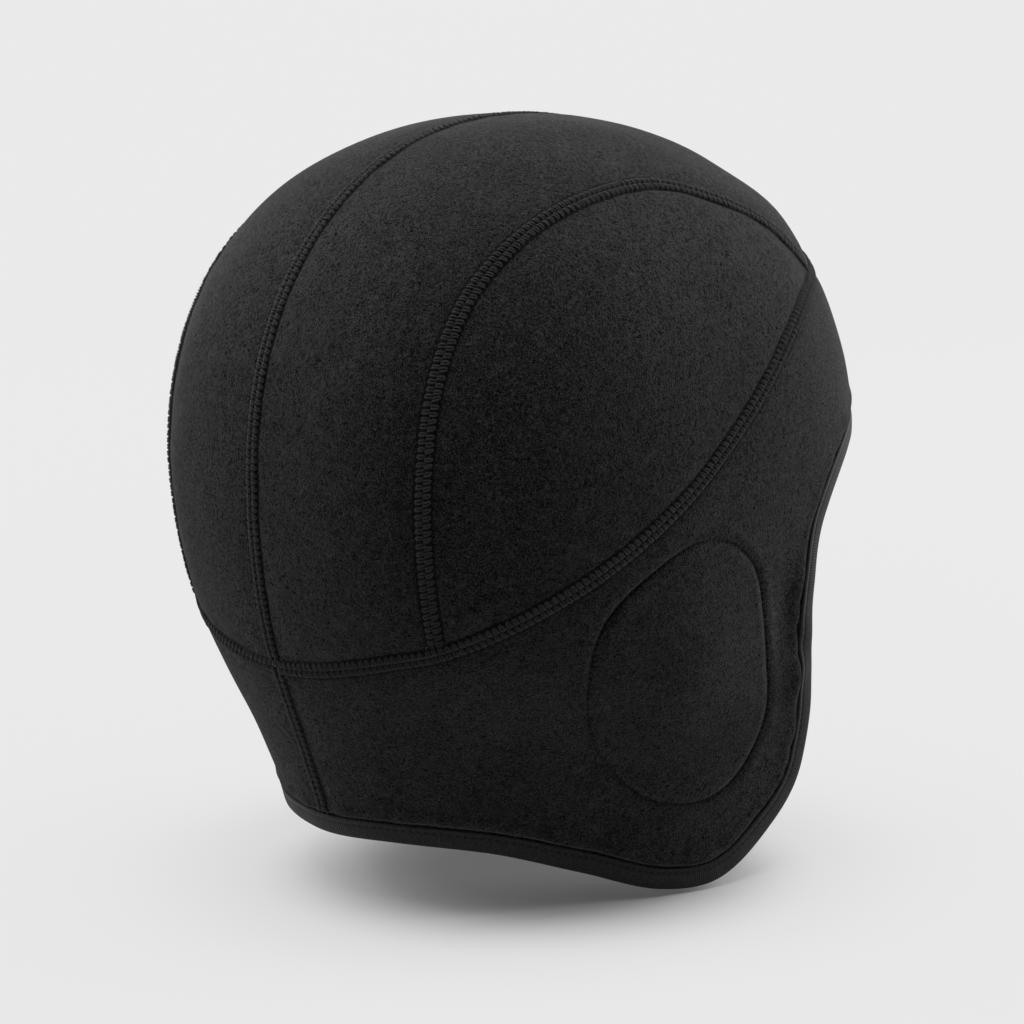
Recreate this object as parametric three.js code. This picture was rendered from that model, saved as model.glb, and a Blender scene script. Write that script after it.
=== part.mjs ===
// Helmet liner cap: mirrored fleece panels that meet in seams, with one folded tape round the edge.
// Lengths are in millimetres. The face looks along -Y, the wearer's left is +X and +Z is up.
// The origin is the top of the hollow, where the crown sits on a head.

import * as THREE from 'three';
import { mergeVertices } from 'three/addons/utils/BufferGeometryUtils.js';

// Driving sizes of the cap, over its outer face
const capWidth = 163.6;
const frontReach = 100.6;
const backReach = 95.8;
const capHeight = 205;
const crownHeight = 91.3;

// Cloth, seams and tape
const wall = 2;
const seamGap = 0.3;
const tapeWidth = 6;
const tapeWall = 0.8;
const tapeClearance = 0.35;

// Ear patch: where its middle lies behind and below the origin, and how high it stands and bulges
const earBack = 12.5;
const earDown = 143.5;
const earHeight = 74.6;
const earBulge = 1.6;

// Depth of the soft folds
const foldDepth = 1.4;

// Roundness: 2 is an ellipse, and larger is squarer
const crownRound = { side: 2.34, front: 2.06, back: 2.18 };
const planRound = { front: 2.16, backHigh: 2.45, backLow: 1.8 };

// Level sections below the widest one. down is a share of the height below the widest section, half of
// half the cap's width, front of frontReach, and back and centre of backReach.
const bodySections = [
  { down: 0, half: 1, centre: 0, front: 1, back: 1 },
  { down: 0.33, half: 0.974, centre: -0.043, front: 1.041, back: 0.958 },
  { down: 0.66, half: 0.889, centre: -0.283, front: 1.269, back: 0.818 },
  { down: 1, half: 0.85, centre: -0.257, front: 1.245, back: 0.668 },
];

// Seams and the rim as points near the form. side is a share of half the width, back of backReach (of
// frontReach where it is negative) and down of capHeight.
const lowerSeamRows = [
  { side: 0, back: 0.923, down: 0.683 },
  { side: 0.21, back: 0.912, down: 0.676 },
  { side: 0.457, back: 0.849, down: 0.655 },
  { side: 0.581, back: 0.791, down: 0.642, meets: 'foot of the side seam' },
  { side: 0.756, back: 0.67, down: 0.605 },
  { side: 0.925, back: 0.446, down: 0.536 },
  { side: 0.993, back: 0.188, down: 0.451 },
  { side: 0.992, back: -0.035, down: 0.364 },
  { side: 0.936, back: -0.232, down: 0.284 },
  { side: 0.85, back: -0.388, down: 0.237 },
  { side: 0.719, back: -0.549, down: 0.211, meets: 'tip of the side seam' },
  { side: 0.391, back: -0.735, down: 0.188 },
  { side: 0, back: -0.808, down: 0.176 },
];

const sideSeamRows = [
  { side: 0.589, back: 0.822, down: 0.596 },
  { side: 0.605, back: 0.862, down: 0.46 },
  { side: 0.612, back: 0.827, down: 0.315 },
  { side: 0.615, back: 0.72, down: 0.215 },
  { side: 0.636, back: 0.526, down: 0.137 },
  { side: 0.654, back: 0.249, down: 0.09 },
  { side: 0.661, back: 0.035, down: 0.082 },
  { side: 0.696, back: -0.135, down: 0.1 },
  { side: 0.715, back: -0.3, down: 0.129 },
  { side: 0.727, back: -0.432, down: 0.169 },
];

const centreSeamRows = [
  { side: 0, back: -0.45, down: 0.05 },
  { side: 0, back: 0, down: 0 },
  { side: 0, back: 0.55, down: 0.07 },
  { side: 0, back: 0.88, down: 0.22 },
  { side: 0, back: 1, down: 0.43 },
];

const rimRows = [
  { side: 0, back: -0.988, down: 0.371 },
  { side: 0.403, back: -0.924, down: 0.388 },
  { side: 0.738, back: -0.718, down: 0.43 },
  { side: 0.862, back: -0.547, down: 0.465, meets: 'temple' },
  { side: 0.927, back: -0.409, down: 0.527 },
  { side: 0.939, back: -0.354, down: 0.603 },
  { side: 0.919, back: -0.375, down: 0.707 },
  { side: 0.888, back: -0.403, down: 0.795 },
  { side: 0.867, back: -0.368, down: 0.883 },
  { side: 0.859, back: -0.244, down: 0.945 },
  { side: 0.829, back: -0.081, down: 0.993 },
  { side: 0.767, back: 0.096, down: 0.993 },
  { side: 0.66, back: 0.308, down: 0.96 },
  { side: 0.495, back: 0.519, down: 0.927, meets: 'heel' },
  { side: 0.245, back: 0.685, down: 0.917 },
  { side: 0, back: 0.734, down: 0.919 },
];

// Outline of the ear patch, as reaches from its middle in shares of half its height. The turn starts
// straight up and goes towards the back of the head.
const earOutline = [
  { turn: 0, reach: 1 },
  { turn: 30, reach: 0.95 },
  { turn: 60, reach: 0.93 },
  { turn: 90, reach: 0.78 },
  { turn: 120, reach: 0.72 },
  { turn: 150, reach: 0.76 },
  { turn: 180, reach: 0.93 },
  { turn: 210, reach: 1.07 },
  { turn: 240, reach: 0.99 },
  { turn: 270, reach: 0.79 },
  { turn: 300, reach: 0.77 },
  { turn: 330, reach: 0.925 },
];

// The part of the ear outline, in degrees of turn, that each corner of the flap faces
const earFacing = { tip: -16, foot: 72, heel: 142, temple: 318 };

// Soft folds and swellings: a middle as in the seam tables, half its length and width in shares of
// capHeight, the tilt of its length from upright towards the back, and its height in foldDepths.
const folds = [
  { back: -0.23, down: 0.65, length: 0.09, width: 0.032, tilt: 4, height: -0.8 },
  { back: -0.31, down: 0.59, length: 0.05, width: 0.03, tilt: 24, height: 0.7 },
  { back: -0.3, down: 0.71, length: 0.05, width: 0.03, tilt: -10, height: 0.6 },
  { back: 0.27, down: 0.9, length: 0.05, width: 0.06, tilt: 60, height: -0.6 },
  { back: -0.5, down: 0.13, length: 0.04, width: 0.09, tilt: 0, height: 0.8 },
  { back: 0.62, down: 0.8, length: 0.04, width: 0.07, tilt: 80, height: -0.5 },
];

// Steps along and across the panels, and the finer samples that space them evenly
const steps = { seam: 24, end: 8, rim: 28, temple: 5, side: 6, ear: 3 };
const samplesPerStep = 24;

// Corners that agree to this many digits are joined, and a mitre is cut off where it would be sharper
// than this cosine.
const joinDigits = 3;
const sharpestMitre = 0.2;

const fullTurn = 360;
const halfLoop = 0.5;

const fleece = { color: 0x26272a, roughness: 0.95, metalness: 0 };
const stretchTape = { color: 0x1e1f22, roughness: 0.7, metalness: 0 };

const halfWidth = capWidth / 2;
const widestZ = wall - crownHeight;
const bodyHeight = capHeight - crownHeight;
const earMiddle = { y: earBack, z: wall - earDown };

function mix(from, to, share) {
  return from + (to - from) * share;
}

// A cubic from one value to another, with the slope it has at each of them.
function cubic(t, from, to, startSlope, endSlope) {
  const start = (2 * t ** 3 - 3 * t ** 2 + 1) * from + (t ** 3 - 2 * t ** 2 + t) * startSlope;
  const end = (3 * t ** 2 - 2 * t ** 3) * to + (t ** 3 - t ** 2) * endSlope;
  return start + end;
}

// One column of the section table at a share of the body height: a cubic through its rows, level at the
// first row.
function section(name, share) {
  const rows = bodySections;
  const last = rows.length - 1;
  const above = Math.min(rows.findLastIndex((row) => row.down <= share), last - 1);
  const span = rows[above + 1].down - rows[above].down;
  const slope = (i) => {
    if (i === 0) {
      return 0;
    }
    const next = Math.min(i + 1, last);
    const drop = rows[next].down - rows[i - 1].down;
    return ((rows[next][name] - rows[i - 1][name]) / drop) * span;
  };
  const t = (share - rows[above].down) / span;
  return cubic(t, rows[above][name], rows[above + 1][name], slope(above), slope(above + 1));
}

// The level section at a height: half its width, its centre, its reach on the side that a point is on,
// and how round it is there in plan and up over the crown.
function levelSection(y, z) {
  const down = THREE.MathUtils.clamp((widestZ - z) / bodyHeight, 0, 1);
  const centre = section('centre', down) * backReach;
  const half = section('half', down) * halfWidth;
  if (y < centre) {
    const reach = section('front', down) * frontReach + centre;
    return { centre, half, reach, round: planRound.front, crown: crownRound.front };
  }
  const reach = section('back', down) * backReach - centre;
  const round = mix(planRound.backHigh, planRound.backLow, down);
  return { centre, half, reach, round, crown: crownRound.back };
}

// Moves a point onto the form's outer face: away from the middle of the widest section above it, and
// level, away from the section's own centre, below it.
function settle(point) {
  const level = levelSection(point.y, point.z);
  const rise = Math.max(point.z - widestZ, 0);
  const dx = point.x;
  const dy = point.y - level.centre;
  const powers = Math.abs(dx / level.half) ** level.round + Math.abs(dy / level.reach) ** level.round;
  const flat = powers ** (1 / level.round);
  if (rise === 0) {
    return new THREE.Vector3(dx / flat, level.centre + dy / flat, point.z);
  }
  const sideShare = dx ** 2 / Math.max(dx ** 2 + dy ** 2, Number.EPSILON);
  const round = mix(level.crown, crownRound.side, sideShare);
  const scale = (flat ** round + (rise / crownHeight) ** round) ** (-1 / round);
  return new THREE.Vector3(dx * scale, level.centre + dy * scale, widestZ + rise * scale);
}

// The form's outward direction, from two short steps each way across it.
function outward(point) {
  const { centre } = levelSection(point.y, point.z);
  const rise = Math.max(point.z - widestZ, 0);
  const radial = new THREE.Vector3(point.x, point.y - centre, rise).normalize();
  const sideways = Math.abs(radial.x) > Math.SQRT1_2;
  const helper = new THREE.Vector3(sideways ? 0 : 1, sideways ? 1 : 0, 0);
  const across = helper.cross(radial).normalize();
  const along = radial.clone().cross(across);
  const slopeOf = (direction) => {
    const ahead = settle(point.clone().addScaledVector(direction, wall / 2));
    return ahead.sub(settle(point.clone().addScaledVector(direction, -wall / 2)));
  };
  return slopeOf(across).cross(slopeOf(along)).normalize();
}

// A point of the form's left side at a given place in the side view, below the widest section.
function sidePoint(y, z) {
  const level = levelSection(y, z);
  const inward = Math.min(Math.abs((y - level.centre) / level.reach), 1);
  const x = level.half * (1 - inward ** level.round) ** (1 / level.round);
  return new THREE.Vector3(x, y, z);
}

// Reach of the ear outline at a turn in degrees: a cubic through the table, closed on itself.
function earReach(turn) {
  const count = earOutline.length;
  const rowsOn = (THREE.MathUtils.euclideanModulo(turn, fullTurn) / fullTurn) * count;
  const row = Math.floor(rowsOn);
  const value = (i) => earOutline[(row + i + count) % count].reach;
  const startSlope = (value(1) - value(-1)) / 2;
  const endSlope = (value(2) - value(0)) / 2;
  return (cubic(rowsOn - row, value(0), value(1), startSlope, endSlope) * earHeight) / 2;
}

function earPoint(turn, share) {
  const angle = THREE.MathUtils.degToRad(turn);
  const reach = earReach(turn) * share;
  return sidePoint(earMiddle.y + reach * Math.sin(angle), earMiddle.z + reach * Math.cos(angle));
}

// How far the cloth stands out from the form: the bulge of the ear patch and the folds.
function lift(point) {
  const back = point.y - earMiddle.y;
  const up = point.z - earMiddle.z;
  const turn = THREE.MathUtils.radToDeg(Math.atan2(back, up));
  const share = Math.min(Math.hypot(back, up) / earReach(turn), 1);
  let height = earBulge * (1 - share ** 2);
  for (const fold of folds) {
    const middle = place(fold);
    const tilt = THREE.MathUtils.degToRad(fold.tilt);
    const dy = point.y - middle.y;
    const dz = point.z - middle.z;
    const along = (dz * Math.cos(tilt) + dy * Math.sin(tilt)) / (fold.length * capHeight);
    const across = (dy * Math.cos(tilt) - dz * Math.sin(tilt)) / (fold.width * capHeight);
    height += fold.height * foldDepth * Math.exp(-(along ** 2) - across ** 2);
  }
  return height;
}

// A row of a seam table as a point. A fold's row has no side, and only its place in the side view counts.
function place(row) {
  const y = row.back * (row.back < 0 ? frontReach : backReach);
  return new THREE.Vector3((row.side ?? 1) * halfWidth, y, wall - row.down * capHeight);
}

function mirrored(point) {
  return new THREE.Vector3(-point.x, point.y, point.z);
}

// A closed curve through the rows of one side and their mirror images.
function mirroredLoop(rows) {
  const left = rows.map(place);
  const right = left.slice(1, -1).reverse().map(mirrored);
  return new THREE.CatmullRomCurve3([...left, ...right], true, 'centripetal');
}

// Evenly spaced points on the form along a stretch of a curve, from one share of it to another.
function stations(curve, from, to, count) {
  const samples = samplesPerStep * count;
  const points = Array.from({ length: samples + 1 }, (_, i) => {
    return settle(curve.getPoint(mix(from, to, i / samples)));
  });
  const lengths = [0];
  for (let i = 1; i <= samples; i++) {
    lengths.push(lengths[i - 1] + points[i].distanceTo(points[i - 1]));
  }
  return Array.from({ length: count + 1 }, (_, k) => {
    const target = (lengths[samples] * k) / count;
    const next = Math.max(lengths.findIndex((length) => length >= target), 1);
    const share = (target - lengths[next - 1]) / (lengths[next] - lengths[next - 1]);
    return settle(points[next - 1].clone().lerp(points[next], share));
  });
}

function straight(from, to, count) {
  return stations(new THREE.LineCurve3(from, to), 0, 1, count);
}

// Moves a line of points sideways across the form, to the left of its run as seen from outside.
function shifted(points, distance) {
  return points.map((point, i) => {
    const ahead = points[Math.min(i + 1, points.length - 1)];
    const behind = points[Math.max(i - 1, 0)];
    const run = ahead.clone().sub(behind);
    const left = outward(point).cross(run).normalize();
    return settle(point.clone().addScaledVector(left, distance));
  });
}

// A patch between four edges: low and high run along it, start and finish run across it.
function patch(low, high, start, finish) {
  const along = low.length - 1;
  const across = start.length - 1;
  return low.map((lowPoint, i) => {
    const u = i / along;
    return start.map((startPoint, j) => {
      const v = j / across;
      const sum = new THREE.Vector3();
      sum.addScaledVector(lowPoint, 1 - v).addScaledVector(high[i], v);
      sum.addScaledVector(startPoint, 1 - u).addScaledVector(finish[j], u);
      sum.addScaledVector(low[0], -(1 - u) * (1 - v)).addScaledVector(low[along], -u * (1 - v));
      sum.addScaledVector(high[0], -(1 - u) * v).addScaledVector(high[along], -u * v);
      return settle(sum);
    });
  });
}

// A patch of straight rows from each point of one line to its partner on another.
function ruledPatch(low, high, across) {
  return low.map((point, i) => {
    return Array.from({ length: across + 1 }, (_, j) => settle(point.clone().lerp(high[i], j / across)));
  });
}

// The corners and triangles of some patches, joined where their edges meet.
function joinPatches(patches) {
  const points = [];
  const triangles = [];
  const known = new Map();
  const numberOf = (point) => {
    const key = point.toArray().map((value) => value.toFixed(joinDigits)).join(' ');
    if (!known.has(key)) {
      known.set(key, points.length);
      points.push(point);
    }
    return known.get(key);
  };
  for (const grid of patches) {
    const numbers = grid.map((row) => row.map(numberOf));
    const faces = [];
    for (let i = 1; i < numbers.length; i++) {
      for (let j = 1; j < numbers[i].length; j++) {
        faces.push([numbers[i - 1][j - 1], numbers[i][j - 1], numbers[i][j]]);
        faces.push([numbers[i - 1][j - 1], numbers[i][j], numbers[i - 1][j]]);
      }
    }
    const whole = faces.filter(([a, b, c]) => a !== b && b !== c && c !== a);
    const facing = whole.reduce((sum, [a, b, c]) => {
      const square = points[b].clone().sub(points[a]).cross(points[c].clone().sub(points[a]));
      return sum + square.dot(outward(points[a]));
    }, 0);
    triangles.push(...(facing > 0 ? whole : whole.map(([a, b, c]) => [a, c, b])));
  }
  return { points, triangles };
}

// The edges that only one triangle uses, each as [from, to] with the cloth on its left.
function openEdges(triangles) {
  const edges = new Map();
  for (const [a, b, c] of triangles) {
    for (const [from, to] of [[a, b], [b, c], [c, a]]) {
      if (!edges.delete(`${to} ${from}`)) {
        edges.set(`${from} ${to}`, [from, to]);
      }
    }
  }
  return [...edges.values()];
}

// Draws each edge of the cloth in by a distance, square to the edge.
function drawnIn(points, edges, distance) {
  const pulls = new Map();
  for (const [from, to] of edges) {
    const run = points[to].clone().sub(points[from]);
    for (const end of [from, to]) {
      const pull = outward(points[end]).cross(run).normalize();
      pulls.set(end, [...(pulls.get(end) ?? []), pull]);
    }
  }
  return points.map((point, i) => {
    if (!pulls.has(i)) {
      return point;
    }
    const [first, second] = pulls.get(i);
    const middle = first.clone().add(second).normalize();
    const reach = distance / Math.max(middle.dot(first), sharpestMitre);
    return settle(point.clone().addScaledVector(middle, reach));
  });
}

function meshOf(name, corners, triangles, finish) {
  const numbers = corners.flatMap((corner) => corner.toArray());
  const geometry = new THREE.BufferGeometry();
  geometry.setAttribute('position', new THREE.Float32BufferAttribute(numbers, 3));
  geometry.setIndex(triangles.flat());
  const welded = mergeVertices(geometry);
  welded.computeVertexNormals();
  const mesh = new THREE.Mesh(welded, new THREE.MeshStandardMaterial(finish));
  mesh.name = name;
  return mesh;
}

// A piece on the right is the mirror image of the one on the left.
function pairOf(name, corners, triangles, finish) {
  const turned = triangles.map(([a, b, c]) => [a, c, b]);
  return [
    meshOf(`${name}_left`, corners, triangles, finish),
    meshOf(`${name}_right`, corners.map(mirrored), turned, finish),
  ];
}

// A pair of cloth pieces: patches of the outer face, half the seam gap off each edge, and the wall inside.
function clothPair(name, patches) {
  const { points, triangles } = joinPatches(patches);
  const edges = openEdges(triangles);
  const flat = drawnIn(points, edges, seamGap / 2);
  const outer = flat.map((point) => point.clone().addScaledVector(outward(point), lift(point)));
  const inner = flat.map((point) => point.clone().addScaledVector(outward(point), lift(point) - wall));
  const count = outer.length;
  const inside = triangles.map(([a, b, c]) => [a + count, c + count, b + count]);
  const around = edges.flatMap(([from, to]) => [
    [from, from + count, to + count],
    [from, to + count, to],
  ]);
  return pairOf(name, [...outer, ...inner], [...triangles, ...inside, ...around], fleece);
}

// Seam and rim curves, and the shares of them where they meet
const lowerSeam = mirroredLoop(lowerSeamRows);
const rim = mirroredLoop(rimRows);

function shareOf(rows, meeting) {
  return (halfLoop * rows.findIndex((row) => row.meets === meeting)) / (rows.length - 1);
}

const footRow = lowerSeamRows.find((row) => row.meets === 'foot of the side seam');
const tipRow = lowerSeamRows.find((row) => row.meets === 'tip of the side seam');
const footShare = shareOf(lowerSeamRows, footRow.meets);
const tipShare = shareOf(lowerSeamRows, tipRow.meets);
const templeShare = shareOf(rimRows, 'temple');
const heelShare = shareOf(rimRows, 'heel');

// Lines of stations along each seam
const sideSeam = new THREE.CatmullRomCurve3([footRow, ...sideSeamRows, tipRow].map(place));
const sideLine = stations(sideSeam, 0, 1, steps.seam);
const napeToFoot = stations(lowerSeam, 0, footShare, steps.end);
const footToTip = stations(lowerSeam, footShare, tipShare, steps.seam);
const tipToFront = stations(lowerSeam, tipShare, halfLoop, steps.end);
const centreRows = [lowerSeamRows.at(-1), ...centreSeamRows, lowerSeamRows[0]];
const frontToNape = stations(new THREE.CatmullRomCurve3(centreRows.map(place)), 0, 1, steps.seam);

// The rim, the cloth's own edge inside the fold of the tape, and the hem line just above the tape
const rimFrontToTemple = stations(rim, 0, templeShare, steps.end);
const rimTempleToHeel = stations(rim, templeShare, heelShare, steps.rim);
const rimHeelToNape = stations(rim, heelShare, halfLoop, steps.end);
const rimLine = [...rimFrontToTemple, ...rimTempleToHeel.slice(1), ...rimHeelToNape.slice(1)];
const clothEdge = insideRim(tapeWall + tapeClearance);
const hemLine = insideRim(tapeWidth + tapeClearance);
const hemFrontToTemple = hemLine.slice(0, steps.end + 1);
const hemTempleToHeel = hemLine.slice(steps.end, -steps.end);
const hemHeelToNape = hemLine.slice(-steps.end - 1);

// The rim line moved up the cloth, with its two ends kept in the middle of the cap.
function insideRim(distance) {
  return shifted(rimLine, distance).map((point, i, line) => {
    const inMiddle = i === 0 || i === line.length - 1;
    return inMiddle ? settle(new THREE.Vector3(0, point.y, point.z)) : point;
  });
}

function crownPanels() {
  const tipLine = [...sideLine].reverse();
  const front = [...tipToFront].reverse();
  return clothPair('crown_panel', [patch(frontToNape, tipLine, front, napeToFoot)]);
}

function sidePanels() {
  return clothPair('side_panel', [ruledPatch(footToTip, sideLine, steps.side)]);
}

// The flap: a ring round the ear outline, an arm along the forehead, the nape behind, and the hem.
function earFlaps() {
  const temple = straight(hemTempleToHeel[0], tipToFront[0], steps.temple);
  const heel = straight(footToTip[0], hemHeelToNape[0], steps.side);
  const sides = [
    { line: [...footToTip].reverse(), from: earFacing.tip, to: earFacing.foot },
    { line: heel, from: earFacing.foot, to: earFacing.heel },
    { line: [...hemTempleToHeel].reverse(), from: earFacing.heel, to: earFacing.temple },
    { line: temple, from: earFacing.temple, to: earFacing.tip + fullTurn },
  ];
  const ring = sides.map(({ line, from, to }) => {
    const earLine = line.map((_, i) => earPoint(mix(from, to, i / (line.length - 1)), 1));
    return ruledPatch(earLine, line, steps.side);
  });
  const frontMiddle = straight(hemFrontToTemple[0], tipToFront.at(-1), steps.temple);
  const arm = patch(hemFrontToTemple, [...tipToFront].reverse(), frontMiddle, temple);
  const napeMiddle = straight(hemHeelToNape.at(-1), napeToFoot[0], steps.side);
  const nape = patch(hemHeelToNape, [...napeToFoot].reverse(), [...heel].reverse(), napeMiddle);
  const hem = ruledPatch(clothEdge, hemLine, 1);
  return clothPair('ear_flap', [...ring, arm, nape, hem]);
}

function earPatches() {
  const spokes = 2 * steps.rim;
  const disc = Array.from({ length: spokes + 1 }, (_, i) => {
    const turn = (fullTurn * (i % spokes)) / spokes;
    return Array.from({ length: steps.ear + 1 }, (_, j) => earPoint(turn, j / steps.ear));
  });
  return clothPair('ear_patch', [disc]);
}

// Section of the folded tape. out is measured from the middle of the cloth's wall, up from the fold.
function tapeSection() {
  const slot = wall / 2 + tapeClearance;
  const face = slot + tapeWall;
  const heel = tapeWall;
  return [
    { out: slot, up: tapeWidth },
    { out: face, up: tapeWidth },
    { out: face, up: heel },
    { out: slot, up: 0 },
    { out: -slot, up: 0 },
    { out: -face, up: heel },
    { out: -face, up: tapeWidth },
    { out: -slot, up: tapeWidth },
    { out: -slot, up: heel },
    { out: slot, up: heel },
  ];
}

// The tape: its section carried along the whole rim and closed on itself.
function rimTape() {
  const half = rimLine.slice(0, -1);
  const loop = [...half, rimLine.at(-1), ...half.slice(1).reverse().map(mirrored)];
  const profile = tapeSection();
  const corners = loop.flatMap((point, i) => {
    const ahead = loop[(i + 1) % loop.length];
    const behind = loop[(i + loop.length - 1) % loop.length];
    const run = ahead.clone().sub(behind);
    const up = outward(point).cross(run).normalize();
    return profile.map((corner) => {
      const foot = settle(point.clone().addScaledVector(up, corner.up));
      return foot.addScaledVector(outward(foot), lift(foot) - wall / 2 + corner.out);
    });
  });
  const triangles = loop.flatMap((_, i) => {
    const here = i * profile.length;
    const next = ((i + 1) % loop.length) * profile.length;
    return profile.flatMap((_, j) => {
      const k = (j + 1) % profile.length;
      return [
        [here + j, here + k, next + k],
        [here + j, next + k, next + j],
      ];
    });
  });
  return meshOf('rim_tape', corners, triangles, stretchTape);
}

const cap = new THREE.Group();
cap.add(...crownPanels(), ...sidePanels(), ...earFlaps(), ...earPatches(), rimTape());

export default cap;
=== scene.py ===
"""Looks of the helmet liner cap: brushed fleece panels, flatlock seams and a folded stretch tape.

Shapes are worked out in millimetres and put into meshes in metres. The face looks along -Y, the
wearer's left is +X and +Z is up. The origin is the top of the hollow, on the crown.
"""

import math

import bpy
import numpy as np
from mathutils import Matrix, Vector


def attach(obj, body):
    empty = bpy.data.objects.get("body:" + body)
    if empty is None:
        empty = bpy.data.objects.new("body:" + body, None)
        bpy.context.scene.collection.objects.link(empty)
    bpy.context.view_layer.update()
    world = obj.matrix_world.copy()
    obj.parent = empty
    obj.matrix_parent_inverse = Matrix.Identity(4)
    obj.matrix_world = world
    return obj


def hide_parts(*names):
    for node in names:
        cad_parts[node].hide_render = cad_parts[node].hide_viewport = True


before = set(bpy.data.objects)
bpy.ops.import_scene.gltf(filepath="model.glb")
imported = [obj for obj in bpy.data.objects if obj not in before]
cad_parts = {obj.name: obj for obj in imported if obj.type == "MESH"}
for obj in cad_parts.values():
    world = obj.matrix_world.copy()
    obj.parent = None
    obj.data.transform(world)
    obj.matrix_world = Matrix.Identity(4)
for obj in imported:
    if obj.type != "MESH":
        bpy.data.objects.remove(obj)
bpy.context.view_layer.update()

MM = 0.001

# Sizes of the form over its outer face
HALF_WIDTH = 81.8
FRONT_REACH = 100.6
BACK_REACH = 95.8
CAP_HEIGHT = 205.0
CROWN_HEIGHT = 91.3
WALL = 2.0
WIDEST_Z = WALL - CROWN_HEIGHT
BODY_HEIGHT = CAP_HEIGHT - CROWN_HEIGHT

# Roundness: 2 is an ellipse, and larger is squarer
CROWN_ROUND = {"side": 2.34, "front": 2.06, "back": 2.18}
PLAN_ROUND = {"front": 2.16, "back_high": 2.45, "back_low": 1.8}

# Level sections: share of the body height, half width, centre, front reach and back reach
SECTIONS = np.array([
    (0, 1, 0, 1, 1),
    (0.33, 0.974, -0.043, 1.041, 0.958),
    (0.66, 0.889, -0.283, 1.269, 0.818),
    (1, 0.85, -0.257, 1.245, 0.668),
])

# Seams and the rim: shares of half the width, of the back or front reach, and of the height
LOWER_SEAM = [
    (0, 0.923, 0.683), (0.21, 0.912, 0.676), (0.457, 0.849, 0.655), (0.581, 0.791, 0.642),
    (0.756, 0.67, 0.605), (0.925, 0.446, 0.536), (0.993, 0.188, 0.451), (0.992, -0.035, 0.364),
    (0.936, -0.232, 0.284), (0.85, -0.388, 0.237), (0.719, -0.549, 0.211), (0.391, -0.735, 0.188),
    (0, -0.808, 0.176),
]
FOOT_ROW, TIP_ROW = 3, 10
SIDE_SEAM = [
    (0.589, 0.822, 0.596), (0.605, 0.862, 0.46), (0.612, 0.827, 0.315), (0.615, 0.72, 0.215),
    (0.636, 0.526, 0.137), (0.654, 0.249, 0.09), (0.661, 0.035, 0.082), (0.696, -0.135, 0.1),
    (0.715, -0.3, 0.129), (0.727, -0.432, 0.169),
]
CENTRE_SEAM = [(0, -0.45, 0.05), (0, 0, 0), (0, 0.55, 0.07), (0, 0.88, 0.22), (0, 1, 0.43)]
RIM = [
    (0, -0.988, 0.371), (0.403, -0.924, 0.388), (0.738, -0.718, 0.43), (0.862, -0.547, 0.465),
    (0.927, -0.409, 0.527), (0.939, -0.354, 0.603), (0.919, -0.375, 0.707), (0.888, -0.403, 0.795),
    (0.867, -0.368, 0.883), (0.859, -0.244, 0.945), (0.829, -0.081, 0.993), (0.767, 0.096, 0.993),
    (0.66, 0.308, 0.96), (0.495, 0.519, 0.927), (0.245, 0.685, 0.917), (0, 0.734, 0.919),
]
TEMPLE_ROW, HEEL_ROW = 3, 13

# Ear patch: middle, height, bulge, and reaches every 30 degrees from straight up towards the back
EAR_Y, EAR_Z = 12.5, WALL - 143.5
EAR_HEIGHT = 74.6
EAR_BULGE = 1.6
EAR_REACHES = np.array([1, 0.95, 0.93, 0.78, 0.72, 0.76, 0.93, 1.07, 0.99, 0.79, 0.77, 0.925])
EAR_FACING = {"tip": -16, "foot": 72, "heel": 142, "temple": 318}

# Soft folds: back and down as in the seams, half length and half width in shares of the height, tilt
# from upright towards the back in degrees, and height in fold depths
FOLD_DEPTH = 1.4
FOLDS = [
    (-0.23, 0.65, 0.09, 0.032, 4, -0.8),
    (-0.31, 0.59, 0.05, 0.03, 24, 0.7),
    (-0.3, 0.71, 0.05, 0.03, -10, 0.6),
    (0.27, 0.9, 0.05, 0.06, 60, -0.6),
    (-0.5, 0.13, 0.04, 0.09, 0, 0.8),
    (0.62, 0.8, 0.04, 0.07, 80, -0.5),
    (-0.275, 0.625, 0.03, 0.018, 15, 0.6),
    (-0.305, 0.69, 0.03, 0.016, 65, -0.7),
    (-0.3, 0.75, 0.035, 0.014, -8, 0.6),
    (0.3, 0.85, 0.03, 0.018, 55, 0.35),
    (0.15, 0.68, 0.09, 0.06, 12, 1.1),
]

# Tape, and the cloth's own edge and hem line under it
TAPE_WIDTH, TAPE_WALL, TAPE_CLEARANCE = 6.0, 0.8, 0.35
TAPE_REACH = 1.35

# Its stitches: length, and how far they lie along its section from the middle of its upper edge
TAPE_STITCH = 2.0
TAPE_PITS = 1.75

# Flatlock seam: half its width, the length of a stitch, how far its yarns slant in stitches, where they
# start and end in shares of that half width, the thickness of a yarn and its share left at its ends, how
# far a stitch's two yarns bow out, how high they stand, and how deep their ends are sunk
BAND = 2.1
STITCH = 1.85
SLANT = 0.3
PAST_MIDDLE, TO_SIDE = 0.1, 0.97
YARN = 0.28
YARN_END = 0.35
BOW = 0.36
YARN_RISE = 0.3
YARN_SUNK = 0.08

# Groove: the length of its marks, and a place along it where they are darkest, given to the crease
# above the tape so that its painted shade is even
MARK = 1.7
EVEN = MARK / 4

# Slow swells of the cloth: their lengths, their height as a share of the length, and their seed
SWELLS = (60, 44, 33, 26, 21, 18)
SWELL_SHARE = 0.0016
SWELL_SEED = 4

# Gathers: their height beside a seam, and the row of the rim in the hollow of the front edge, where
# those above the tape are largest
PUCKER = 0.07
HOLLOW_ROW = 6

# The edges of the cloth are drawn out by this much, so that neighbours meet without a slit
OVERLAP = 0.05
SHARPEST_MITRE = 0.2

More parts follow.
